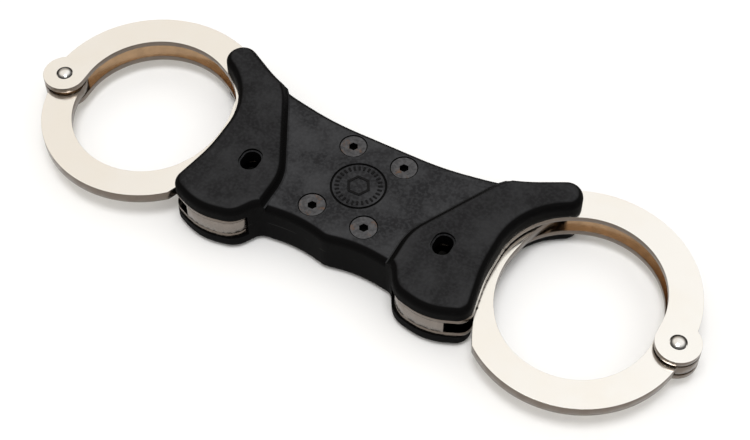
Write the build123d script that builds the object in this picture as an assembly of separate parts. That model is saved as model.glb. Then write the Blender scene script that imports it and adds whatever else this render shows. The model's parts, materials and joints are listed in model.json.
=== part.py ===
"""Rigid bar handcuffs: two ratchet cuffs clamped in one moulded grip, lying flat on the table.

Everything is first drawn in the lock's own frame: X runs from rivet to rivet, Y = 0 is the line
through the two pivot rivets, and Z = 0 is the middle plane of the steelwork. The wrist side of
each lock is its ring side. Only the right-hand cuff is drawn, and the left one is its mirror
image. At export the whole part moves so that its origin is at the centre of its footprint, on
the surface that it lies on. Angles called "below" are measured at a rivet, from the line to the
other rivet, turning towards -Y on the right-hand cuff.
"""

from build123d import *
import os
from math import atan2, cos, degrees, hypot, radians, sin, sqrt

os.makedirs("parts", exist_ok=True)

# ---- driving dimensions, millimetres and degrees ----

# steel sandwich
RIVET_X = 120.0  # pivot rivet from the middle of the part
CHEEK_INNER_Z = 2.85  # inner face of a cheek plate
CHEEK_OUTER_Z = 5.0  # outer face of a cheek plate
STRAND_HALF_T = 2.05
KNUCKLE_R = 7.8  # round end of cheeks and strand about the pivot rivet

# cheek plates
CHEEK_OUTER_R = 40.4
CHEEK_OUTER_CENTRE = (83.7, 3.9)
CHEEK_INNER_R = 28.3
CHEEK_INNER_CENTRE = (84.0, 4.8)
CHEEK_SHOULDER_DEG = 146.0  # where the outer arc ends inside the horn
CHEEK_HORN_DEG = 118.3  # where the inner arc ends under the horn
TANG_END_X = 2.0
TANG_BACK_Y = 23.2
TANG_FRONT_Y = -16.3

# strand, drawn fully home in its lock
STRAND_OUTER_R = 37.8
STRAND_OUTER_CENTRE = (85.3, 1.0)
STRAND_INNER_R = 27.0
STRAND_INNER_CENTRE = (85.1, 0.8)
TOOTH_TIP_R = 66.4  # from the pivot rivet
TOOTH_DEPTH = 1.0
TOOTH_PITCH_DEG = 2.5
TOOTH_COUNT = 17
FIRST_TOOTH_DEG = -30.0  # below, at the tip end
STORED_OPENING_DEG = 2 * TOOTH_PITCH_DEG  # the right-hand cuff is two clicks looser
SWING_R = 66.95  # the strand sweeps everything inside this radius

# pivot
RIVET_SHANK_R = 2.0
RIVET_HEAD_R = 2.65
RIVET_HEAD_DEPTH = 0.9
RIVET_DOME_H = 0.9
HEAD_SEAT_R = 2.9
RUNNING_GAP = 0.05
FIXED_GAP = 0.02
WASHER_R = 6.6
WASHER_INNER_Z = 2.08
WASHER_OUTER_Z = 2.83

# lock work, between the cheeks
FRAME_END_X = 24.0
SPINE_END_X = 23.8
FRAME_HALF_T = 2.85
PAWL_HALF_T = 2.6
PAWL_PIVOT = (48.4, 14.5)
PAWL_EYE_R = 3.0
PAWL_PIN_R = 1.5
PAWL_FRONT_R = 66.75  # from the pivot rivet
PAWL_BACK_R = 71.2
PAWL_TOP_DEG = -4.5
PAWL_FOOT_DEG = 9.0
PAWL_FIRST_TOOTH_DEG = 0.0
PAWL_TEETH = 3
PAWL_TOOTH_CLEARANCE = 0.25
SLIDE_HALF_T = 2.6
SLIDE_TRAVEL = 3.5
SLIDE_PIN = (42.85, 0.5)
SLIDE_PIN_R = 0.7
KEY_POST = (37.3, -5.4)
KEY_POST_R = 1.5
KEY_POST_TOP_Z = 4.3
SPRING_THICKNESS = 0.5
SPRING_HALF_W = 2.3
FRAME_RIVET_R = 1.5
FRAME_RIVETS = ((28.0, -12.0), (28.5, 8.0), (38.5, 18.6), (51.5, 23.3), (38.5, -27.3))

# moulded grip
WAIST_TOP_Z = 7.9
PAD_TOP_Z = 10.7
SHELL_EDGE_FILLET = 3.0
STEP_FILLET = 2.0
STEP_FLARE = ((1.5, 0.0), (0.95, 0.2), (0.5, 0.55), (0.1, 1.1), (-0.9, 2.8))  # out, up
SHELL_GAP = 0.25  # from the moulding to the steel beside it
WINDOW_END_X = 27.9  # the steel shows at the front of each lobe from here outwards
KEYHOLE_W = 7.6
KEYHOLE_H = 9.4
KEYHOLE_LIP = 0.6
KEYHOLE_LIP_DEPTH = 1.0
KEYHOLE_CORNER_SHARE = 0.48  # corner radius as a share of the width
CHEEK_KEYHOLE_MARGIN = 0.8  # the hole in the cheek is this much wider all round
STEP_END_X = 53.0  # the step runs out at the horn here
BADGE_Y = 4.07
BADGE_R = 9.5
BADGE_GROOVE_W = 0.8
BADGE_GROOVE_DEPTH = 0.5

# fasteners: M5 countersunk socket screws into countersunk sleeve nuts
SCREW_X = 10.0
SCREW_BACK_Y = 18.55
SCREW_FRONT_Y = -10.42
SCREW_R = 2.5
SCREW_HEAD_R = 4.55
SCREW_HEAD_H = 2.6
SCREW_HEAD_RIM = 0.3  # straight edge of a countersunk head
SCREW_HEX_AF = 3.0
SCREW_HEX_DEPTH = 1.8
HEAD_RECESS = 0.25  # head below the face of the grip
HEAD_GAP = 0.4  # ring around a head, as deep as its straight edge
SLEEVE_R = 3.4
SLEEVE_HOLE_R = 3.5
SLEEVE_TOP_Z = 3.2
SCREW_END_Z = -4.5

# ---- drawing helpers ----


def at_rivet(radius, below_deg):
    """The point at this radius from the right-hand rivet, this far below the rivet line."""
    below = radians(below_deg)
    return (RIVET_X - radius * cos(below), -radius * sin(below))


def on_circle(centre, radius, angle_deg):
    angle = radians(angle_deg)
    return (centre[0] + radius * cos(angle), centre[1] + radius * sin(angle))


def circles_meet(centre_a, radius_a, centre_b, radius_b):
    """Of the two points where the circles cross, the one on the left going from a to b."""
    dx = centre_b[0] - centre_a[0]
    dy = centre_b[1] - centre_a[1]
    apart = hypot(dx, dy)
    along = (apart**2 + radius_a**2 - radius_b**2) / (2 * apart)
    aside = sqrt(radius_a**2 - along**2)
    x = centre_a[0] + (along * dx - aside * dy) / apart
    y = centre_a[1] + (along * dy + aside * dx) / apart
    return (x, y)


def face_of(*lines):
    """The flat face inside lines that follow each other end to end, facing up."""
    edges = [edge for line in lines for edge in line.edges()]
    face = Face(Wire(edges))
    return face if face.normal_at().Z > 0 else -face


def polygon(*points):
    return face_of(Polyline(*points, close=True))


def disc(centre, radius):
    return Pos(*centre) * Circle(radius).face()


def slab(face, low, high):
    """The face made solid from one height to another."""
    return extrude(Pos(0, 0, low) * face, amount=high - low, dir=(0, 0, 1))


def rod(centre, radius, low, high):
    return slab(disc(centre, radius), low, high)


def mirrored(shape):
    return mirror(shape, about=Plane.YZ)


def both_sides(shape):
    return [shape, mirrored(shape)]


# ---- outlines of the right-hand half ----


def grip_outline():
    """The grip seen from above: on each side waist, horn, wrist side, lobe and finger scallop."""
    right = (
        ((22.0, 26.0), 110),  # back of the waist
        ((46.0, 30.3), 55),
        ((66.7, 41.6), 5.6),  # horn tip
        ((72.5, 31.7), 5.6),
        ((53.6, 20.9), 27),  # hollow of the wrist side
        ((53.6, -6.5), 60),
        ((57.4, -25.6), 5.5),  # lobe
        ((44.0, -31.3), 22),
        ((30.6, -28.4), 9),
        ((25.6, -19.9), 4.5),  # lobe meets the finger scallop
        ((11.5, -18.2), 45),
    )
    ridge = (((0, -20.7), 6),)
    left = tuple(((-x, y), radius) for (x, y), radius in reversed(right))
    corners = right + ridge + left
    points = [point for point, radius in corners]
    radii = [radius for point, radius in corners]
    return face_of(FilletPolyline(*points, radius=radii, close=True))


def pad_region():
    """The ground that the raised pad of the right-hand lobe and horn may cover."""
    far_x, back_y, front_y = 90, 60, -50
    step = FilletPolyline((54, 39.5), (41.8, 26.3), (24.7, -5.3), (24.7, front_y), radius=(25, 22))
    rest = Polyline((24.7, front_y), (far_x, front_y), (far_x, back_y), (54, back_y), (54, 39.5))
    return face_of(step, rest)


def cheek_outline():
    """A right-hand cheek plate: knuckle, bow, horn, lock case and the tang inside the waist."""
    rivet = (RIVET_X, 0)
    notch = circles_meet(CHEEK_OUTER_CENTRE, CHEEK_OUTER_R, rivet, KNUCKLE_R)
    bow_top = on_circle(CHEEK_OUTER_CENTRE, CHEEK_OUTER_R, 90)
    shoulder = on_circle(CHEEK_OUTER_CENTRE, CHEEK_OUTER_R, CHEEK_SHOULDER_DEG)
    wrist_start = (54.4, 4.0)
    horn_inner = on_circle(CHEEK_INNER_CENTRE, CHEEK_INNER_R, CHEEK_HORN_DEG)
    inner_top = on_circle(CHEEK_INNER_CENTRE, CHEEK_INNER_R, 90)
    inner_end = on_circle(CHEEK_INNER_CENTRE, CHEEK_INNER_R, 0)
    knuckle_inner = (RIVET_X - KNUCKLE_R, 0)
    case = FilletPolyline(
        shoulder,
        (44.0, TANG_BACK_Y),
        (TANG_END_X, TANG_BACK_Y),
        (TANG_END_X, TANG_FRONT_Y),
        (25.9, TANG_FRONT_Y),
        (30.9, -28.0),
        (44.0, -30.9),
        (57.7, -25.0),
        (54.4, -6.4),
        wrist_start,
        radius=(8, 1, 1, 3, 9, 22, 5.5, 60),
    )
    return face_of(
        ThreePointArc(notch, bow_top, shoulder),
        case,
        ThreePointArc(wrist_start, (58.3, 18.6), horn_inner),
        ThreePointArc(horn_inner, inner_top, inner_end),
        Line(inner_end, knuckle_inner),
        ThreePointArc(knuckle_inner, on_circle(rivet, KNUCKLE_R, -60), notch),
    )


def strand_blank():
    """The strand before its teeth are cut, fully home in its lock."""
    rivet = (RIVET_X, 0)
    arm_foot_y = -9.6
    bow = disc(STRAND_OUTER_CENTRE, STRAND_OUTER_R) - disc(STRAND_INNER_CENTRE, STRAND_INNER_R)
    bow -= polygon((40, arm_foot_y), (90, arm_foot_y), (90, 50), (40, 50))
    bow -= polygon((89, -0.5), (130, -0.5), (130, 50), (89, 50))
    bow = bow & disc(rivet, TOOTH_TIP_R)
    arm_foot = (60.05, arm_foot_y)
    tip_inner = (66.2, 32.6)
    tip_outer = at_rivet(TOOTH_TIP_R, FIRST_TOOTH_DEG - 0.6)
    outer_foot = at_rivet(TOOTH_TIP_R, 20)
    arm = face_of(
        ThreePointArc(arm_foot, (57.15, 3.6), (59.2, 17.2)),
        ThreePointArc((59.2, 17.2), (61.9, 25.4), tip_inner),
        Line(tip_inner, tip_outer),
        ThreePointArc(tip_outer, at_rivet(TOOTH_TIP_R, 0), outer_foot),
        Polyline(outer_foot, (66.0, -24.0), arm_foot),
    )
    return bow + arm + disc(rivet, KNUCKLE_R)


def tooth_valley(below_deg):
    """The notch between two teeth: a steep face that locks, and a ramp that lifts the pawl."""
    over = 0.3
    return polygon(
        at_rivet(TOOTH_TIP_R + over, below_deg),
        at_rivet(TOOTH_TIP_R - TOOTH_DEPTH, below_deg + 0.1 * TOOTH_PITCH_DEG),
        at_rivet(TOOTH_TIP_R + over, below_deg + 0.9 * TOOTH_PITCH_DEG),
    )


def pawl_tooth(below_deg):
    """A pawl tooth standing in the valley that starts at this angle."""
    tip_r = TOOTH_TIP_R - TOOTH_DEPTH + PAWL_TOOTH_CLEARANCE
    root_r = PAWL_FRONT_R + 0.25
    ramp = (TOOTH_DEPTH + 0.3) / (0.8 * TOOTH_PITCH_DEG)  # millimetres a degree
    tip_deg = below_deg + 0.14 * TOOTH_PITCH_DEG
    return polygon(
        at_rivet(root_r, below_deg + 0.06 * TOOTH_PITCH_DEG),
        at_rivet(tip_r, tip_deg),
        at_rivet(root_r, tip_deg + (root_r - tip_r) / ramp),
    )


def lock_cavity():
    """The room for the lock work, open towards the wrist and at the lobe's corner."""
    return polygon(
        (62, -36),
        (50.3, -36),
        (49.4, -26.2),
        (41.0, -24.4),
        (35.5, -21.5),
        (31.5, -14.0),
        (31.5, -2.0),
        (36.0, 9.0),
        (42.5, 19.2),
        (62, 19.2),
    )


def keyhole(width, height):
    """An oval of this size about the key post."""
    outline = RectangleRounded(width, height, KEYHOLE_CORNER_SHARE * width)
    return Pos(*KEY_POST) * outline.face()


# ---- the moulded grip ----


def soft_slab(height):
    """The whole grip outline raised to this height, with its top edge rounded."""
    body = slab(grip_outline(), 0, height)
    return fillet(body.edges().group_by(Axis.Z)[-1], SHELL_EDGE_FILLET)


def pad_step():
    """The block that the pad is cut from: a sloping wall that flares out at its foot."""
    block = slab(offset(pad_region(), amount=STEP_FLARE[0][0]), 0, WAIST_TOP_Z)
    for (out, up), (next_out, next_up) in zip(STEP_FLARE, STEP_FLARE[1:]):
        ground = Pos(0, 0, WAIST_TOP_Z + up) * offset(pad_region(), amount=out)
        lean = degrees(atan2(out - next_out, next_up - up))
        block += extrude(ground, amount=next_up - up, dir=(0, 0, 1), taper=lean)
    step_edges = [e for e in block.edges().group_by(Axis.Z)[-1] if e.center().X < STEP_END_X]
    return fillet(step_edges, STEP_FILLET)


def upper_body():
    """The upper half, solid down to the parting plane: waist, and a raised pad at each end."""
    pad = soft_slab(PAD_TOP_Z) & pad_step()
    return soft_slab(WAIST_TOP_Z) + pad + mirrored(pad)


def steel_room():
    """What the grip leaves free for the cheeks, the strands and their swing."""
    room_low, room_high = -1, CHEEK_OUTER_Z
    room = slab(offset(cheek_outline(), amount=SHELL_GAP), room_low, room_high)
    room += rod((RIVET_X, 0), SWING_R, room_low, room_high)
    window = polygon((WINDOW_END_X, -10), (WINDOW_END_X, -40), (70, -40), (70, -10))
    room += slab(window, room_low, room_high)
    middle = polygon((-5, TANG_FRONT_Y), (5, TANG_FRONT_Y), (5, TANG_BACK_Y), (-5, TANG_BACK_Y))
    return room + mirrored(room) + slab(offset(middle, amount=SHELL_GAP), room_low, room_high)


def head_seat(centre, face_z):
    """Countersink and through hole for a screw or a sleeve nut, from a face at this height."""
    cone_top_z = face_z - HEAD_RECESS - SCREW_HEAD_RIM
    cone_h = SCREW_HEAD_R - SLEEVE_HOLE_R
    seat = rod(centre, SCREW_HEAD_R + HEAD_GAP, cone_top_z, face_z + 1)
    cone = Cone(SLEEVE_HOLE_R, SCREW_HEAD_R, cone_h)
    seat += Pos(centre[0], centre[1], cone_top_z - cone_h / 2) * cone
    return seat + rod(centre, SLEEVE_HOLE_R, -1, cone_top_z)


def screw_places():
    return [(x, y) for x in (-SCREW_X, SCREW_X) for y in (SCREW_FRONT_Y, SCREW_BACK_Y)]


def badge_groove():
    """The ring that frames the round blank on the waist."""
    ring = disc((0, BADGE_Y), BADGE_R + BADGE_GROOVE_W / 2)
    ring -= disc((0, BADGE_Y), BADGE_R - BADGE_GROOVE_W / 2)
    return slab(ring, WAIST_TOP_Z - BADGE_GROOVE_DEPTH, PAD_TOP_Z)


def keyhole_cut():
    """The oval keyhole through the right-hand pad, with the lip round its mouth."""
    hole = slab(keyhole(KEYHOLE_W - 2 * KEYHOLE_LIP, KEYHOLE_H - 2 * KEYHOLE_LIP), 0, PAD_TOP_Z)
    mouth_z = PAD_TOP_Z - KEYHOLE_LIP_DEPTH
    return hole + slab(keyhole(KEYHOLE_W, KEYHOLE_H), mouth_z, PAD_TOP_Z + 1)


def hollowed(body, face_z):
    """One half of the grip with the room for the steel and its screw seats cut out."""
    shell = body - steel_room()
    for place in screw_places():
        shell -= head_seat(place, face_z)
    return shell


def make_shells():
    """The upper half with pads, badge ring and keyholes, and the lower half, flat underneath."""
    upper = hollowed(upper_body(), WAIST_TOP_Z) - badge_groove()
    for cut in both_sides(keyhole_cut()):
        upper -= cut
    lower = mirror(hollowed(soft_slab(PAD_TOP_Z), PAD_TOP_Z), about=Plane.XY)
    return {"upper_shell": upper, "lower_shell": lower}


# ---- fasteners and the spine ----


def head_blank(top_z):
    """A countersunk head, its flat face at top_z."""
    cone_h = SCREW_HEAD_H - SCREW_HEAD_RIM
    cone = Cone(SCREW_HEAD_R - cone_h, SCREW_HEAD_R, cone_h)
    head = Pos(0, 0, top_z - SCREW_HEAD_RIM - cone_h / 2) * cone
    return head + rod((0, 0), SCREW_HEAD_R, top_z - SCREW_HEAD_RIM, top_z)


def hex_socket(top_z):
    hexagon = RegularPolygon(SCREW_HEX_AF / 2, 6, major_radius=False).face()
    return slab(hexagon, top_z - SCREW_HEX_DEPTH, top_z + 1)


def make_screw():
    top_z = WAIST_TOP_Z - HEAD_RECESS
    screw = head_blank(top_z) + rod((0, 0), SCREW_R, SCREW_END_Z, top_z - SCREW_HEAD_H + 0.5)
    return screw - hex_socket(top_z)


def make_sleeve_nut():
    """A sleeve nut hanging head down, its bore a hair wider than the screw."""
    top_z = PAD_TOP_Z - HEAD_RECESS
    upright = head_blank(top_z) + rod((0, 0), SLEEVE_R, -SLEEVE_TOP_Z, top_z - 0.6)
    nut = mirror(upright - hex_socket(top_z), about=Plane.XY)
    return nut - rod((0, 0), SCREW_R + FIXED_GAP, SCREW_END_Z - FIXED_GAP, SLEEVE_TOP_Z + 1)


def at_screw_places(piece):
    return Compound([Pos(x, y) * piece for x, y in screw_places()])


def screw_holes(low, high):
    return [rod(place, SLEEVE_HOLE_R, low, high) for place in screw_places()]


def make_spine():
    """The plate that ties the two cuffs together between their tangs."""
    outline = polygon(
        (-SPINE_END_X, TANG_FRONT_Y),
        (SPINE_END_X, TANG_FRONT_Y),
        (SPINE_END_X, TANG_BACK_Y),
        (-SPINE_END_X, TANG_BACK_Y),
    )
    spine = slab(outline, -FRAME_HALF_T, FRAME_HALF_T)
    for hole in screw_holes(-CHEEK_OUTER_Z, CHEEK_OUTER_Z):
        spine -= hole
    return spine


# ---- one cuff ----


def rivet_holes(low, high):
    """Holes for the rivets through the right-hand cheeks and lock frame."""
    return [rod(place, FRAME_RIVET_R + FIXED_GAP, low, high) for place in FRAME_RIVETS]


def pin_holes(low, high):
    """Holes for the two pins that stand between the right-hand cheeks."""
    pins = ((PAWL_PIVOT, PAWL_PIN_R), (SLIDE_PIN, SLIDE_PIN_R))
    return [rod(place, radius + FIXED_GAP, low, high) for place, radius in pins]


def make_cheek_blank():
    """An upper cheek with every hole but the one at the key post."""
    cheek = slab(cheek_outline(), CHEEK_INNER_Z, CHEEK_OUTER_Z)
    cheek -= rod((RIVET_X, 0), RIVET_SHANK_R + FIXED_GAP, 0, CHEEK_OUTER_Z + 1)
    seat_z = CHEEK_OUTER_Z - RIVET_HEAD_DEPTH
    cheek -= rod((RIVET_X, 0), HEAD_SEAT_R, seat_z, CHEEK_OUTER_Z + 1)
    through = (0, CHEEK_OUTER_Z + 1)
    for hole in rivet_holes(*through) + pin_holes(*through) + screw_holes(*through):
        cheek -= hole
    return cheek


def make_cheeks():
    blank = make_cheek_blank()
    wider = 2 * CHEEK_KEYHOLE_MARGIN - 2 * KEYHOLE_LIP
    opening = keyhole(KEYHOLE_W + wider, KEYHOLE_H + wider)
    upper = blank - slab(opening, 0, CHEEK_OUTER_Z + 1)
    lower = mirror(blank, about=Plane.XY)
    lower -= rod(KEY_POST, KEY_POST_R + FIXED_GAP, -CHEEK_OUTER_Z - 1, 0)
    return {"cheek_upper": upper, "cheek_lower": lower}


def make_lock_frame():
    """The spacer that walls in the lock work and shows at the front of the lobe."""
    outline = cheek_outline() - lock_cavity() - disc((RIVET_X, 0), SWING_R)
    outline -= polygon((0, -30), (FRAME_END_X, -30), (FRAME_END_X, 40), (0, 40))
    outline -= polygon((62, 0), (130, 0), (130, 60), (62, 60))
    frame = slab(outline, -FRAME_HALF_T, FRAME_HALF_T)
    for hole in rivet_holes(-CHEEK_OUTER_Z, CHEEK_OUTER_Z):
        frame -= hole
    return frame


def make_strand():
    strand = strand_blank()
    for i in range(TOOTH_COUNT):
        strand -= tooth_valley(FIRST_TOOTH_DEG + i * TOOTH_PITCH_DEG)
    strand -= disc((RIVET_X, 0), RIVET_SHANK_R + RUNNING_GAP)
    return slab(strand, -STRAND_HALF_T, STRAND_HALF_T)


def make_pivot_rivet():
    """The polished pivot rivet, with a low dome standing out of each cheek."""
    seat_z = CHEEK_OUTER_Z - RIVET_HEAD_DEPTH
    rivet = rod((RIVET_X, 0), RIVET_SHANK_R, -seat_z, seat_z)
    dome_r = (RIVET_HEAD_R**2 + RIVET_DOME_H**2) / (2 * RIVET_DOME_H)
    dome_z = CHEEK_OUTER_Z + RIVET_DOME_H - dome_r
    head = rod((RIVET_X, 0), RIVET_HEAD_R, seat_z, CHEEK_OUTER_Z + 1)
    head &= Pos(RIVET_X, 0, dome_z) * Sphere(dome_r)
    return rivet + head + mirror(head, about=Plane.XY)


def make_pivot_washers():
    ring = disc((RIVET_X, 0), WASHER_R) - disc((RIVET_X, 0), RIVET_SHANK_R + FIXED_GAP)
    washer = slab(ring, WASHER_INNER_Z, WASHER_OUTER_Z)
    return Compound([washer, mirror(washer, about=Plane.XY)])


def make_pawl():
    """The toothed lever: eye, toothed shoe, back boss for the double lock, tail for the key."""
    shoe = face_of(
        ThreePointArc(
            at_rivet(PAWL_FRONT_R, PAWL_TOP_DEG),
            at_rivet(PAWL_FRONT_R, 0),
            at_rivet(PAWL_FRONT_R, PAWL_FOOT_DEG),
        ),
        Line(at_rivet(PAWL_FRONT_R, PAWL_FOOT_DEG), at_rivet(PAWL_BACK_R, PAWL_FOOT_DEG)),
        Line(at_rivet(PAWL_BACK_R, PAWL_FOOT_DEG), at_rivet(PAWL_BACK_R, PAWL_TOP_DEG)),
        Line(at_rivet(PAWL_BACK_R, PAWL_TOP_DEG), at_rivet(PAWL_FRONT_R, PAWL_TOP_DEG)),
    )
    arm = polygon(
        at_rivet(PAWL_FRONT_R, PAWL_TOP_DEG),
        (51.2, 13.6),
        (45.6, 13.6),
        at_rivet(PAWL_BACK_R, PAWL_TOP_DEG),
    )
    boss = polygon((46.2, -2.8), (50, -2.8), (50, -0.2), (46.2, -0.2))
    tail = polygon((50.5, -8.8), (53.7, -10.0), (52.6, -13.0), (40.8, -12.6), (40.5, -10.4))
    pawl = shoe + arm + boss + tail + disc(PAWL_PIVOT, PAWL_EYE_R)
    for i in range(PAWL_TEETH):
        pawl += pawl_tooth(PAWL_FIRST_TOOTH_DEG + i * TOOTH_PITCH_DEG)
    pawl -= disc(PAWL_PIVOT, PAWL_PIN_R + RUNNING_GAP)
    return slab(pawl, -PAWL_HALF_T, PAWL_HALF_T)


def make_slide():
    """The double-lock slide, unlocked: its lug sits below the pawl's boss."""
    bar = polygon((41.6, -6.5), (44.1, -6.5), (44.1, 5.0), (41.6, 5.0))
    lug = polygon((44.0, -6.5), (46.0, -6.5), (46.0, -3.5), (44.0, -3.5))
    slot_r = SLIDE_PIN_R + RUNNING_GAP
    x, y = SLIDE_PIN
    low_y = y - SLIDE_TRAVEL
    left_x, right_x = x - slot_r, x + slot_r
    slot = disc((x, y), slot_r) + disc((x, low_y), slot_r)
    slot += polygon((left_x, low_y), (right_x, low_y), (right_x, y), (left_x, y))
    return slab(bar + lug - slot, -SLIDE_HALF_T, SLIDE_HALF_T)


def make_pawl_spring():
    """The leaf spring that presses the pawl's back, held against the top of the lock frame."""
    centre_line = FilletPolyline((44.9, 19.1), (44.6, 10.5), (48.45, 3.6), radius=3)
    leaf = trace(centre_line, SPRING_THICKNESS)
    return slab(leaf.clean().face(), -SPRING_HALF_W, SPRING_HALF_W)


def make_cuff():
    """Every piece of the right-hand cuff, with the strand fully home."""
    pieces = make_cheeks()
    pieces["lock_frame"] = make_lock_frame()
    pieces["strand"] = make_strand()
    pieces["pivot_rivet"] = make_pivot_rivet()
    pieces["pivot_washers"] = make_pivot_washers()
    through = (-CHEEK_OUTER_Z, CHEEK_OUTER_Z)
    pieces["frame_rivets"] = Compound([rod(p, FRAME_RIVET_R, *through) for p in FRAME_RIVETS])
    pieces["pawl"] = make_pawl()
    pieces["pawl_pin"] = rod(PAWL_PIVOT, PAWL_PIN_R, *through)
    pieces["pawl_spring"] = make_pawl_spring()
    pieces["double_lock_slide"] = make_slide()
    pieces["slide_pin"] = rod(SLIDE_PIN, SLIDE_PIN_R, *through)
    pieces["key_post"] = rod(KEY_POST, KEY_POST_R, -CHEEK_OUTER_Z, KEY_POST_TOP_Z)
    return pieces


def opened(strand):
    """The right-hand strand turned about its rivet to where it is stored."""
    return Pos(RIVET_X, 0) * Rot(0, 0, STORED_OPENING_DEG) * Pos(-RIVET_X, 0) * strand


def footprint_middle_y():
    """Middle of the part in Y: from the lowest point of the opened strand to the cheeks' top."""
    turn = radians(STORED_OPENING_DEG)
    from_rivet_x = STRAND_OUTER_CENTRE[0] - RIVET_X
    centre_y = from_rivet_x * sin(turn) + STRAND_OUTER_CENTRE[1] * cos(turn)
    front_y = centre_y - STRAND_OUTER_R
    back_y = CHEEK_OUTER_CENTRE[1] + CHEEK_OUTER_R
    return (front_y + back_y) / 2


def all_pieces():
    pieces = make_shells()
    pieces["casing_screws"] = at_screw_places(make_screw())
    pieces["casing_sleeve_nuts"] = at_screw_places(make_sleeve_nut())
    pieces["spine_plate"] = make_spine()
    cuff = make_cuff()
    for name, piece in cuff.items():
        pieces[f"left_{name}"] = mirrored(piece)
        pieces[f"right_{name}"] = opened(piece) if name == "strand" else piece
    return pieces


to_table = Pos(0, -footprint_middle_y(), PAD_TOP_Z)
for node, piece in all_pieces().items():
    export_step(to_table * piece, f"parts/{node}.step")
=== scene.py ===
"""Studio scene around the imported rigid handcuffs: materials, edge rounding, badge, light and camera."""

import json
from math import cos, radians, sin, tau

import bmesh
import bpy
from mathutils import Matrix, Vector


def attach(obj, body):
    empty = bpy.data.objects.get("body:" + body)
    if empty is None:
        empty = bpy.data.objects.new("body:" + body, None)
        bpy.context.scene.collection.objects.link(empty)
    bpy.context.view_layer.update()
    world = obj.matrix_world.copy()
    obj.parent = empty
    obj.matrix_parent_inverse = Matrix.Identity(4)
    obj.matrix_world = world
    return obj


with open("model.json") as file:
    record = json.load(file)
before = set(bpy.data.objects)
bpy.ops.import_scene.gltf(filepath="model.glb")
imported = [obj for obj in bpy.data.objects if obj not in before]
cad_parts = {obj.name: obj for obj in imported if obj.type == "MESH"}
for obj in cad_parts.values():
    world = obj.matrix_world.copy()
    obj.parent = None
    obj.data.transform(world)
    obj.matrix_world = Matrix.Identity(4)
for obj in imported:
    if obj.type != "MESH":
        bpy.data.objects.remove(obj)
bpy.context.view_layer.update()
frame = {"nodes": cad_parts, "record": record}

MM = 0.001
SIDES = ("left", "right")
WHITE = (1.0, 1.0, 1.0)

# ---- camera: a long lens, looking down over the front of the grip ----
CAMERA_AZIMUTH = 28.60
CAMERA_ELEVATION = 53.96
CAMERA_DISTANCE = 551.5 * MM
CAMERA_TARGET = Vector((9.145, -3.120, 10.7)) * MM
CAMERA_LENS = 77.05
SENSOR_WIDTH = 36.0
NEAR_CLIP = 10 * MM

# ---- heights from the middle plane of the steelwork ----
MIDDLE_Z = 10.7 * MM
GAP_HALF = 2.85 * MM  # to the inner face of a cheek
WAIST_HEIGHT = 7.9 * MM  # to the top of the waist
PAD_HEIGHT = 10.7 * MM  # to the top of a pad, and to the grip's underside
HEAD_RECESS = 0.25 * MM
SCREW_FACE_HEIGHT = WAIST_HEIGHT - HEAD_RECESS
NUT_FACE_HEIGHT = PAD_HEIGHT - HEAD_RECESS

# ---- distances from the middle of the part ----
LOCK_END_X = 56.0 * MM  # the painted shade inside the lock fades out from here
BOW_START_X = 62.0 * MM  # and is gone here

# ---- rounding of the plates' rims ----
PLATE_EDGE = 0.40 * MM
EDGE_SEGMENTS = 2
SHARP_ANGLE = 40.0  # degrees
WELD_DISTANCE = 0.001 * MM
FLAT_ANGLE = 0.4  # degrees

# ---- badge ----
WAIST_TOP_Z = MIDDLE_Z + WAIST_HEIGHT
BADGE_CENTRE_Y = 1.834 * MM
BADGE_SUNK = 0.02 * MM  # how far the relief reaches into the grip
BADGE_RELIEF = 0.30 * MM
BADGE_EDGE = 0.07 * MM
TICK_COUNT = 28
TICK_INNER_R = 6.7 * MM
TICK_OUTER_R = 8.3 * MM
TICK_HALF_W = 0.34 * MM
HEXAGON_SIDES = 6
HEXAGON_OUTER_R = 4.4 * MM
HEXAGON_INNER_R = 3.4 * MM

# ---- table and light ----
TABLE_HALF = 6.0
TABLE_DROP = 0.05 * MM
SOFT_BOX_PLACE = (0.10, -0.20, 1.3)
SOFT_BOX_SIZE = 0.5
SOFT_BOX_POWER = 7.5
TENT_BY_HEIGHT = (  # sine of the height above the horizon, and the tent's colour there
    (0.02, (0.26, 0.24, 0.22)),
    (0.34, (0.52, 0.50, 0.475)),
    (0.60, (0.95, 0.95, 0.95)),
    (0.98, WHITE),
)
TINT_ACROSS = (  # 0 at the far left, 1 at the far right
    (0.28, (0.955, 0.915, 0.86)),
    (0.46, (1.06, 1.05, 1.03)),
)
FRONT_BRIGHTNESS = 0.45
FRONT_Y = -0.62  # of a unit direction, where the tent is dimmest
BACK_Y = 0.05  # and where it is back at full strength
OVERHEAD_LOW_Z = 0.42  # above this height the front brightens
OVERHEAD_HIGH_Z = 0.58  # to full strength here

# ---- colours ----
GRIP_SPECULAR = 0.055
# painted shade: the grip's walls are painted near black
GRIP_WALL = (0.0012, 0.0011, 0.0012)
GRIP_SEAM = (0.030, 0.030, 0.030)
# painted sheen: the grip's level tops are painted paler, mottled between these two colours
GRIP_DARK = (0.0150, 0.0150, 0.0162)
GRIP_TOP_SHEEN = (0.0360, 0.0366, 0.0388)
GRIP_SPECK = (0.048, 0.049, 0.052)
GRIP_PAD_TINT = (0.0065, 0.0062, 0.0065)
RELIEF_DARK = (0.0045, 0.0043, 0.0045)
RELIEF_PALE = (0.0085, 0.0083, 0.0086)
NICKEL_FACE = (0.93, 0.905, 0.86)
NICKEL_WARM = (0.92, 0.885, 0.825)
# painted reflection and shade: the plates' walls and cut edges are painted darker than their faces
NICKEL_WALL_SHADE = (0.19, 0.158, 0.132)
# painted reflection and shade: faces in the gap between the cheeks are painted warmer and darker
NICKEL_GAP_SHADE = (0.74, 0.60, 0.46)
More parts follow.
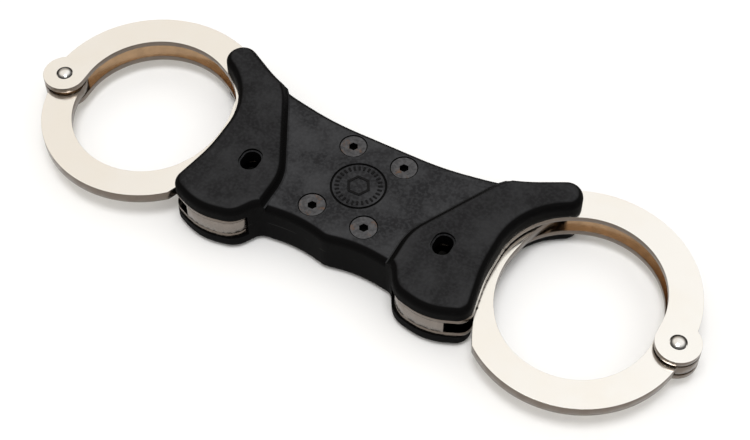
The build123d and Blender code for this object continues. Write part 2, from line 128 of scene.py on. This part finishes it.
# painted shade: the lock frames' plate is painted a darker grey for where it sits between the cheeks
SPACER_FACE = (0.26, 0.235, 0.21)
SPACER_WARM = (0.24, 0.22, 0.19)
SPACER_EDGE = (0.255, 0.225, 0.20)
RIVET_NICKEL = (0.92, 0.90, 0.87)
# painted shade: near black inside the lock and on the lock work
LOCK_SHADE = (0.012, 0.011, 0.010)
# painted shade: black in the screws' and nuts' sockets
SOCKET_SHADE = (0.003, 0.003, 0.003)
RUST = (0.17, 0.095, 0.055)
TABLE_DARK = (0.90, 0.90, 0.90)
TABLE_PALE = (0.92, 0.92, 0.92)


# ---- node helpers, for a material or a world ----


def new_material(name, metallic, specular=0.5):
    """A material and its Principled shader."""
    material = bpy.data.materials.new(name)
    material.use_nodes = True
    shader = principled(material)
    shader.inputs["Metallic"].default_value = metallic
    shader.inputs["Specular IOR Level"].default_value = specular
    return material, shader


def principled(material):
    """The Principled shader of a material."""
    return material.node_tree.nodes["Principled BSDF"]


def add(owner, kind, **inputs):
    """A node of that kind, with its inputs set by name."""
    node = owner.node_tree.nodes.new(kind)
    for name, value in inputs.items():
        node.inputs[name].default_value = value
    return node


def join(owner, source, target):
    """A link between two sockets."""
    owner.node_tree.links.new(source, target)


def split(owner, vector):
    """The X, Y and Z of a vector socket, by name."""
    node = add(owner, "ShaderNodeSeparateXYZ")
    join(owner, vector, node.inputs["Vector"])
    return node.outputs


def colour_socket(sockets, name=None):
    """The colour socket among a Mix node's sockets, by name where there are several."""
    return next(s for s in sockets if s.type == "RGBA" and name in (None, s.name))


def object_point(material):
    """The point on the surface, in metres."""
    return add(material, "ShaderNodeTexCoord").outputs["Object"]


def noise(material, scale, detail=3.0, roughness=0.55):
    """Noise between 0 and 1, with about `scale` lumps to the metre."""
    node = add(material, "ShaderNodeTexNoise", Scale=scale, Detail=detail, Roughness=roughness)
    join(material, object_point(material), node.inputs["Vector"])
    return node.outputs["Fac"]


def ramp(owner, value, low, high, from_low=0.0, from_high=1.0):
    """`value` carried smoothly from one range to another, clamped at both ends."""
    node = add(owner, "ShaderNodeMapRange")
    node.interpolation_type = "SMOOTHSTEP"
    node.inputs["From Min"].default_value = from_low
    node.inputs["From Max"].default_value = from_high
    node.inputs["To Min"].default_value = low
    node.inputs["To Max"].default_value = high
    join(owner, value, node.inputs["Value"])
    return node.outputs["Result"]


def rising(owner, value, start, end):
    """0 below `start`, 1 above `end`."""
    return ramp(owner, value, 0.0, 1.0, start, end)


def falling(owner, value, start, end):
    """1 below `start`, 0 above `end`."""
    return ramp(owner, value, 1.0, 0.0, start, end)


def combine(owner, operation, *values):
    """Numbers or sockets put together by a Math node."""
    node = add(owner, "ShaderNodeMath")
    node.operation = operation
    for socket, value in zip(node.inputs, values):
        if isinstance(value, (int, float)):
            socket.default_value = value
        else:
            join(owner, value, socket)
    return node.outputs["Value"]


def blend_colours(material, factor, first, second):
    """One colour or colour socket turning into another as the factor goes from 0 to 1."""
    node = add(material, "ShaderNodeMix")
    node.data_type = "RGBA"
    join(material, factor, node.inputs["Factor"])
    for name, colour in (("A", first), ("B", second)):
        socket = colour_socket(node.inputs, name)
        if isinstance(colour, tuple):
            socket.default_value = (*colour, 1.0)
        else:
            join(material, colour, socket)
    return colour_socket(node.outputs)


def shade(colour, share):
    """The colour at a share of its brightness."""
    return tuple(share * part for part in colour)


def add_bump(material, shader, height, distance, strength=1.0, under=None):
    """Fine relief, laid over any relief that is already there."""
    node = add(material, "ShaderNodeBump", Distance=distance, Strength=strength)
    join(material, height, node.inputs["Height"])
    if under is not None:
        join(material, under, node.inputs["Normal"])
    join(material, node.outputs["Normal"], shader.inputs["Normal"])
    return node.outputs["Normal"]


# ---- places on the object ----


def levelness(material):
    """1 on faces that look straight up or down, 0 on walls."""
    normal = add(material, "ShaderNodeTexCoord").outputs["Normal"]
    return combine(material, "ABSOLUTE", split(material, normal)["Z"])


def height_from_middle(material):
    """How far the point is above or below the middle plane of the steelwork."""
    height = split(material, object_point(material))["Z"]
    return combine(material, "ABSOLUTE", combine(material, "SUBTRACT", height, MIDDLE_Z))


def parting_line(material):
    """1 on the seam between the two halves of the grip."""
    return falling(material, height_from_middle(material), 0.06 * MM, 0.14 * MM)


def between_cheeks(material):
    """1 on what faces the gap between the cheek plates, 0 outside them."""
    height = height_from_middle(material)
    return falling(material, height, GAP_HALF + 0.05 * MM, GAP_HALF + 0.25 * MM)


def inside_lock(material):
    """1 between the middle of the part and the wrist side of a lock, 0 along the bows."""
    across = split(material, object_point(material))["X"]
    return falling(material, combine(material, "ABSOLUTE", across), LOCK_END_X, BOW_START_X)


def socket_depth(material):
    """1 inside a screw's socket or a sleeve nut's, 0 on the face of its head."""
    height = height_from_middle(material)
    floor, mouth = 0.8 * MM, 0.2 * MM  # below the face of the head
    in_screw = falling(material, height, SCREW_FACE_HEIGHT - floor, SCREW_FACE_HEIGHT - mouth)
    in_nut = rising(material, height, SCREW_FACE_HEIGHT + mouth, SCREW_FACE_HEIGHT + 2 * mouth)
    below_nut_face = falling(material, height, NUT_FACE_HEIGHT - floor, NUT_FACE_HEIGHT - mouth)
    return combine(material, "MAXIMUM", in_screw, combine(material, "MULTIPLY", in_nut, below_nut_face))


# ---- the grip's plastic ----


def moulded_grain(material):
    """The fine grain of the mould."""
    return noise(material, 2600.0, 2.0)


def sheen_painted_top(material, clouds):
    """The colour of a level face, painted paler than the walls as a painted sheen: mottled grey, specked,
    and darker on the pads than on the waist.
    """
    colour = blend_colours(material, clouds, GRIP_DARK, GRIP_TOP_SHEEN)
    specks = rising(material, noise(material, 900.0, 2.0), 0.42, 0.62)
    colour = blend_colours(material, combine(material, "MULTIPLY", specks, 0.35), colour, GRIP_SPECK)
    height = height_from_middle(material)
    on_pad = ramp(material, height, 0.0, 0.42, WAIST_HEIGHT + 0.5 * MM, PAD_HEIGHT - 0.5 * MM)
    return blend_colours(material, on_pad, colour, GRIP_PAD_TINT)


def plastic_wall(material):
    """The colour of a wall: near black as painted shade, with broken paler flash along the seam."""
    patches = rising(material, noise(material, 160.0), 0.5, 0.6)
    flash = combine(material, "MULTIPLY", parting_line(material), patches)
    return blend_colours(material, flash, GRIP_WALL, GRIP_SEAM)


def moulded_plastic():
    """Black glass-filled nylon: dull walls painted near black as painted shade, tops painted a little
    paler as a painted sheen, a mottled sheen and fine grain.
    """
    material, shader = new_material("grip_moulding", 0.0, GRIP_SPECULAR)
    level = rising(material, levelness(material), 0.86, 0.999)
    height = height_from_middle(material)
    top_height_mask = rising(material, height, WAIST_HEIGHT - 0.30 * MM, WAIST_HEIGHT - 0.08 * MM)
    # painted sheen: level faces at the waist's height and above are painted paler than the walls
    painted_sheen_mask = combine(material, "MULTIPLY", level, top_height_mask)
    clouds = rising(material, noise(material, 70.0, 4.0, 0.6), 0.36, 0.66)
    colour = blend_colours(material, painted_sheen_mask, plastic_wall(material), sheen_painted_top(material, clouds))
    join(material, colour, shader.inputs["Base Color"])
    sheen = ramp(material, clouds, 0.54, 0.42)
    wall_dullness = ramp(material, level, 0.70, 0.0)
    join(material, combine(material, "MAXIMUM", sheen, wall_dullness), shader.inputs["Roughness"])
    grain = add_bump(material, shader, moulded_grain(material), 0.03 * MM, 0.5)
    add_bump(material, shader, noise(material, 130.0, 3.0), 0.10 * MM, 0.5, grain)
    return material


def sunk_plastic():
    """The same moulding on a fine relief: black all over, with the grip's grain."""
    material, shader = new_material("grip_moulding_relief", 0.0, GRIP_SPECULAR)
    colour = blend_colours(material, noise(material, 700.0, 3.0), RELIEF_DARK, RELIEF_PALE)
    join(material, colour, shader.inputs["Base Color"])
    join(material, ramp(material, noise(material, 300.0), 0.55, 0.75), shader.inputs["Roughness"])
    add_bump(material, shader, moulded_grain(material), 0.03 * MM, 0.5)
    return material


# ---- metals ----


def painted_wall_shade(material, edge):
    """The painted reflection and shade on a plate's walls and cut edges: a darker brown-grey with random
    streaks, darkest where it rounds over into the face.
    """
    streaks = blend_colours(material, noise(material, 260.0, 4.0), edge, shade(edge, 0.7))
    bevel_shade = ramp(material, levelness(material), 0.0, 0.9, 0.15, 0.50)
    return blend_colours(material, bevel_shade, streaks, shade(edge, 0.30))


def painted_gap_shade(material, inside):
    """The colour of a face that looks into the gap: a warm, mottled painted reflection and shade, and
    painted black shade inside the lock.
    """
    gap_reflection = blend_colours(material, noise(material, 330.0, 4.0), inside, shade(inside, 0.6))
    return blend_colours(material, inside_lock(material), gap_reflection, LOCK_SHADE)


def nickel_plate(name, face, face_warm, edge, rough, inside=None):
    """Polished nickel plate: a bright warm face with faint scuffs, and rougher walls and cut edges painted
    a darker brown-grey as a painted reflection and shade.
    """
    material, shader = new_material(name, 1.0)
    level = rising(material, levelness(material), 0.90, 0.999)
    clouds = rising(material, noise(material, 45.0, 3.0), 0.35, 0.65)
    polished = blend_colours(material, clouds, face, face_warm)
    if inside is not None:
        # faces in the gap between the cheeks take the painted warm reflection and shade
        gap_shaded = painted_gap_shade(material, inside)
        polished = blend_colours(material, between_cheeks(material), polished, gap_shaded)
    # walls and cut edges take the painted darker reflection and shade, level faces keep the bright plate
    colour = blend_colours(material, level, painted_wall_shade(material, edge), polished)
    join(material, colour, shader.inputs["Base Color"])
    scuffs = ramp(material, noise(material, 420.0, 5.0, 0.7), rough, rough + 0.10, 0.40, 0.75)
    cut_roughness = ramp(material, level, 0.26, 0.0)
    join(material, combine(material, "MAXIMUM", scuffs, cut_roughness), shader.inputs["Roughness"])
    waves = add_bump(material, shader, noise(material, 60.0, 2.0), 0.05 * MM, 0.35)
    add_bump(material, shader, noise(material, 1500.0, 3.0), 0.004 * MM, 0.5, waves)
    return material


def polished_nickel(name, colour):
    """Bright domes of the pivot rivets, with a painted dark reflection round the foot of the dome."""
    material, shader = new_material(name, 1.0)
    crown = blend_colours(material, noise(material, 500.0, 2.0), colour, shade(colour, 0.9))
    on_crown = rising(material, levelness(material), 0.83, 0.95)
    # painted dark reflection: the foot of the dome is painted at a tenth of the crown's colour
    dome = blend_colours(material, on_crown, shade(colour, 0.10), crown)
    join(material, dome, shader.inputs["Base Color"])
    join(material, ramp(material, noise(material, 900.0, 3.0), 0.07, 0.16), shader.inputs["Roughness"])
    add_bump(material, shader, noise(material, 400.0, 2.0), 0.01 * MM, 0.4)
    return material


def worked_steel(name, colour, dark, spot_colour, spot_amount, rough):
    """Plain or blackened steel with fine tool marks and a few duller spots of another colour."""
    material, shader = new_material(name, 1.0)
    tone = rising(material, noise(material, 700.0, 4.0, 0.65), 0.3, 0.7)
    steel = blend_colours(material, tone, dark, colour)
    blotches = noise(material, 300.0, 5.0, 0.7)
    spots = ramp(material, blotches, 0.0, 0.75, 0.62 - spot_amount, 0.80 - spot_amount)
    join(material, blend_colours(material, spots, steel, spot_colour), shader.inputs["Base Color"])
    spot_rough = min(rough + 0.25, 0.9)
    join(material, ramp(material, spots, rough, spot_rough), shader.inputs["Roughness"])
    add_bump(material, shader, noise(material, 2200.0, 3.0), 0.02 * MM, 0.6)
    return material


def screw_steel(name):
    """Dark phosphated heads with rust tints, and sockets painted black as painted shade."""
    material = worked_steel(name, (0.105, 0.105, 0.110), (0.055, 0.055, 0.058), RUST, 0.08, 0.40)
    base = principled(material).inputs["Base Color"]
    worn = base.links[0].from_socket
    # painted shade: the sockets are painted near black
    join(material, blend_colours(material, socket_depth(material), worn, SOCKET_SHADE), base)
    return material


def cheek_nickel(name):
    """The cheeks' plate, with a painted warm reflection and shade where it faces the gap."""
    return nickel_plate(name, NICKEL_FACE, NICKEL_WARM, NICKEL_WALL_SHADE, 0.10, NICKEL_GAP_SHADE)


def strand_nickel(name):
    """The strands' plate, a little duller from use."""
    return nickel_plate(name, NICKEL_FACE, NICKEL_WARM, NICKEL_WALL_SHADE, 0.12)


def spacer_nickel(name):
    """The lock frames' plate, satin all over, painted a darker grey as painted shade between the cheeks.
    """
    return nickel_plate(name, SPACER_FACE, SPACER_WARM, SPACER_EDGE, 0.2)


def washer_steel(name):
    """Plain washers gone brown."""
    return worked_steel(name, (0.50, 0.36, 0.24), (0.24, 0.16, 0.10), RUST, 0.05, 0.35)


def spine_steel(name):
    """Bare grey plate."""
    return worked_steel(name, (0.50, 0.50, 0.50), (0.35, 0.35, 0.35), RUST, 0.0, 0.4)


def spring_steel(name):
    """Blued spring leaf."""
    return worked_steel(name, (0.30, 0.32, 0.36), (0.18, 0.19, 0.22), RUST, 0.0, 0.3)


def lock_work_steel(name):
    """Lock work painted near black, as painted shade in the keyholes, and rough."""
    return worked_steel(name, (0.010, 0.0095, 0.009), (0.005, 0.005, 0.005), LOCK_SHADE, 0.0, 0.8)


def pale_floor():
    """A plain pale table."""
    material, shader = new_material("pale_table", 0.0, 0.2)
    colour = blend_colours(material, noise(material, 3.0, 1.0), TABLE_DARK, TABLE_PALE)
    join(material, colour, shader.inputs["Base Color"])
    shader.inputs["Roughness"].default_value = 0.9
    return material


# One material for each material slot of the record.
MATERIALS = {
    "grip_moulding": moulded_plastic(),
    "cheek_plate": cheek_nickel("cheek_plate"),
    "strand_plate": strand_nickel("strand_plate"),
    "lock_frame_steel": spacer_nickel("lock_frame_steel"),
    "rivet_steel": polished_nickel("rivet_steel", RIVET_NICKEL),
    "washer_steel": washer_steel("washer_steel"),
    "screw_steel": screw_steel("screw_steel"),
    "spine_steel": spine_steel("spine_steel"),
    "spring_steel": spring_steel("spring_steel"),
    "lock_work_steel": lock_work_steel("lock_work_steel"),
}


def dress(node, material):
    """Puts one material on every face of a piece."""
    node.data.materials.clear()
    node.data.materials.append(material)


def dress_all():
    """Every CAD node takes the material of its slot in the record."""
    for entry in frame["record"]["subparts"]:
        dress(frame["nodes"][entry["node"]], MATERIALS[entry["material_slot"]])


# ---- edges ----


def bevel_edges(node, width):
    """Rounds every sharp edge of a piece, and returns the modifier."""
    bevel = node.modifiers.new("bevel", "BEVEL")
    bevel.width = width
    bevel.segments = EDGE_SEGMENTS
    bevel.limit_method = "ANGLE"
    bevel.angle_limit = radians(SHARP_ANGLE)
    return bevel


def round_edges(node, width):
    """Breaks the sharp edges of a plate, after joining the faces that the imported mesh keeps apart."""
    weld = node.modifiers.new("weld", "WELD")
    weld.merge_threshold = WELD_DISTANCE
    flatten = node.modifiers.new("flatten", "DECIMATE")
    flatten.decimate_type = "DISSOLVE"
    flatten.angle_limit = radians(FLAT_ANGLE)
    bevel_edges(node, width).harden_normals = True


def round_plates():
    """The cheeks, strands and lock frames are blanked from plate and tumbled, so their rims are soft."""
    for side in SIDES:
        for piece in ("cheek_upper", "cheek_lower", "strand", "lock_frame"):
            round_edges(frame["nodes"][f"{side}_{piece}"], PLATE_EDGE)


# ---- badge ----


def on_badge(radius, angle):
    """The point at this radius and angle about the badge's centre."""
    return Vector((radius * cos(angle), radius * sin(angle) + BADGE_CENTRE_Y))


def raised_bar(shape, corners):
    """A closed prism of the badge's relief on four corners, given anticlockwise."""
    heights = (WAIST_TOP_Z - BADGE_SUNK, WAIST_TOP_Z + BADGE_RELIEF)
    low, high = [[shape.verts.new((x, y, z)) for x, y in corners] for z in heights]
    shape.faces.new(list(reversed(low)))
    shape.faces.new(high)
    for i in range(len(corners)):
        j = (i + 1) % len(corners)
        shape.faces.new((low[i], low[j], high[j], high[i]))


def add_tick(shape, angle):
    """One short radial bar."""
    inner, outer = on_badge(TICK_INNER_R, angle), on_badge(TICK_OUTER_R, angle)
    across = Vector((-sin(angle), cos(angle))) * TICK_HALF_W
    raised_bar(shape, (inner - across, outer - across, outer + across, inner + across))


def add_hexagon_side(shape, start, end):
    """One side of the hexagon, mitred at both ends."""
    raised_bar(
        shape,
        (
            on_badge(HEXAGON_INNER_R, start),
            on_badge(HEXAGON_OUTER_R, start),
            on_badge(HEXAGON_OUTER_R, end),
            on_badge(HEXAGON_INNER_R, end),
        ),
    )


def make_badge():
    """A plain moulded rosette in the round groove: a ring of short ticks about a hexagon."""
    shape = bmesh.new()
    for i in range(TICK_COUNT):
        add_tick(shape, tau * i / TICK_COUNT)
    for i in range(HEXAGON_SIDES):
        add_hexagon_side(shape, tau * i / HEXAGON_SIDES, tau * (i + 1) / HEXAGON_SIDES)
    mesh = bpy.data.meshes.new("badge_rosette")
    shape.to_mesh(mesh)
    shape.free()
    badge = bpy.data.objects.new("badge_rosette", mesh)
    bpy.context.scene.collection.objects.link(badge)
    bevel_edges(badge, BADGE_EDGE)
    dress(badge, sunk_plastic())
    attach(badge, "grip")


# ---- stage, light and camera ----


def make_floor():
    """A wide pale table just under the part."""
    mesh = bpy.data.meshes.new("table")
    signs = ((-1, -1), (1, -1), (1, 1), (-1, 1))
    corners = [(x * TABLE_HALF, y * TABLE_HALF, 0.0) for x, y in signs]
    mesh.from_pydata(corners, [], [(0, 1, 2, 3)])
    floor = bpy.data.objects.new("table", mesh)
    bpy.context.scene.collection.objects.link(floor)
    floor.location.z = -TABLE_DROP
    dress(floor, pale_floor())


def colours_along(world, value, stops):
    """Colours blended along a value between the given stops."""
    node = add(world, "ShaderNodeValToRGB")
    elements = node.color_ramp.elements
    first, *between, last = stops
    for element, (position, colour) in zip(elements, (first, last)):
        element.position = position
        element.color = (*colour, 1.0)
    for position, colour in between:
        elements.new(position).color = (*colour, 1.0)
    join(world, value, node.inputs["Fac"])
    return node.outputs["Color"]


def tent_colour(world, direction):
    """The overhead tent's colour, tinted a little warmer on the left."""
    tent = colours_along(world, direction["Z"], TENT_BY_HEIGHT)
    rightness = combine(world, "MULTIPLY_ADD", direction["X"], 0.5, 0.5)
    tint = colours_along(world, rightness, TINT_ACROSS)
    tinted = add(world, "ShaderNodeMix", Factor=1.0)
    tinted.data_type = "RGBA"
    tinted.blend_type = "MULTIPLY"
    join(world, tent, colour_socket(tinted.inputs, "A"))
    join(world, tint, colour_socket(tinted.inputs, "B"))
    return colour_socket(tinted.outputs)


def tent_strength(world, direction):
    """Full strength overhead and behind, and less low down at the front."""
    back = ramp(world, direction["Y"], FRONT_BRIGHTNESS, 1.0, FRONT_Y, BACK_Y)
    overhead = rising(world, direction["Z"], OVERHEAD_LOW_Z, OVERHEAD_HIGH_Z)
    return combine(world, "MAXIMUM", back, overhead)


def light_world():
    """A dim room under a bright overhead tent."""
    world = bpy.data.worlds.new("tent")
    bpy.context.scene.world = world
    world.use_nodes = True
    background = world.node_tree.nodes["Background"]
    direction = split(world, add(world, "ShaderNodeTexCoord").outputs["Generated"])
    join(world, tent_colour(world, direction), background.inputs["Color"])
    join(world, tent_strength(world, direction), background.inputs["Strength"])


def make_soft_box():
    """A square soft box high over the front, aimed at the part, gives the tops their sheen."""
    light = bpy.data.lights.new("top_box", "AREA")
    light.shape = "SQUARE"
    light.size = SOFT_BOX_SIZE
    light.energy = SOFT_BOX_POWER
    lamp = bpy.data.objects.new("top_box", light)
    bpy.context.scene.collection.objects.link(lamp)
    lamp.location = SOFT_BOX_PLACE
    lamp.rotation_euler = (-Vector(SOFT_BOX_PLACE)).to_track_quat("-Z", "Y").to_euler()


def make_camera():
    """The camera looks at the grip from the front right, well above the table."""
    azimuth, elevation = radians(CAMERA_AZIMUTH), radians(CAMERA_ELEVATION)
    back = Vector((sin(azimuth) * cos(elevation), -cos(azimuth) * cos(elevation), sin(elevation)))
    camera = bpy.data.cameras.new("camera")
    camera.lens = CAMERA_LENS
    camera.sensor_width = SENSOR_WIDTH
    camera.sensor_fit = "HORIZONTAL"
    camera.clip_start = NEAR_CLIP
    holder = bpy.data.objects.new("camera", camera)
    bpy.context.scene.collection.objects.link(holder)
    holder.location = CAMERA_TARGET + back * CAMERA_DISTANCE
    holder.rotation_euler = (-back).to_track_quat("-Z", "Y").to_euler()
    bpy.context.scene.camera = holder


dress_all()
round_plates()
make_badge()
make_floor()
light_world()
make_soft_box()
make_camera()
bpy.context.scene.view_settings.view_transform = "Standard"
